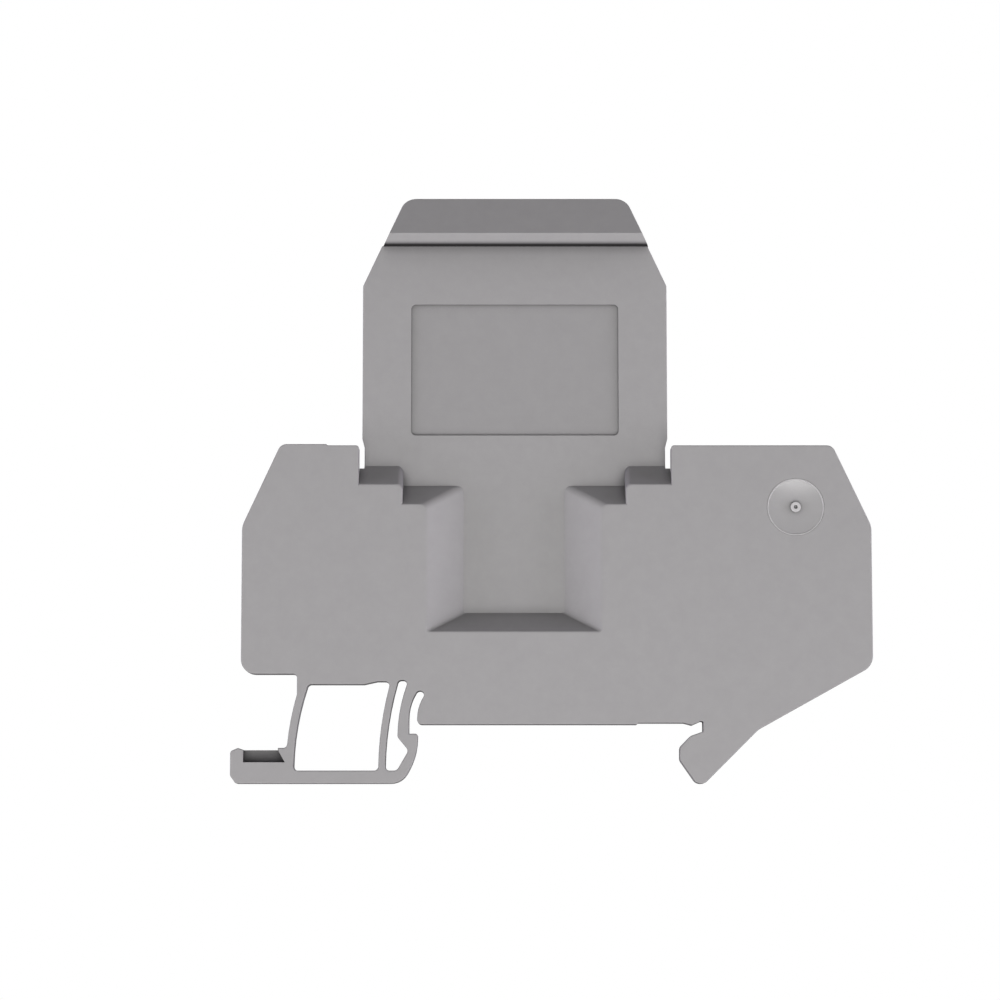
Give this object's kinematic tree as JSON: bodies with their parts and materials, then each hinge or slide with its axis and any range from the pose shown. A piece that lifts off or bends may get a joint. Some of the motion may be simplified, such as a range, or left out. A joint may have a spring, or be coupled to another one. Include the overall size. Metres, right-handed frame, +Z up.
{
  "type": "terminal block partition plate",
  "caption": "Grey moulded partition plate that clips on a 35 mm rail between terminal blocks: flat wings, set-back centre panel with a top strip, snap foot and fixed hook",
  "frame": {"origin": "centre line of the 35 mm mounting rail, in the face that sits on the rail, halfway through the wall of the wings", "axes": "X across the rail with the fixed hook at +X, Y through the plate along the rail with the front at -Y, Z up and away from the rail"},
  "size_m": [0.077, 0.0053, 0.0716],
  "materials": {
    "grey_polyamide": "fine matte moulded grain"
  },
  "bodies": {
    "root": {"partition_plate": "grey_polyamide"}
  },
  "joints": []
}
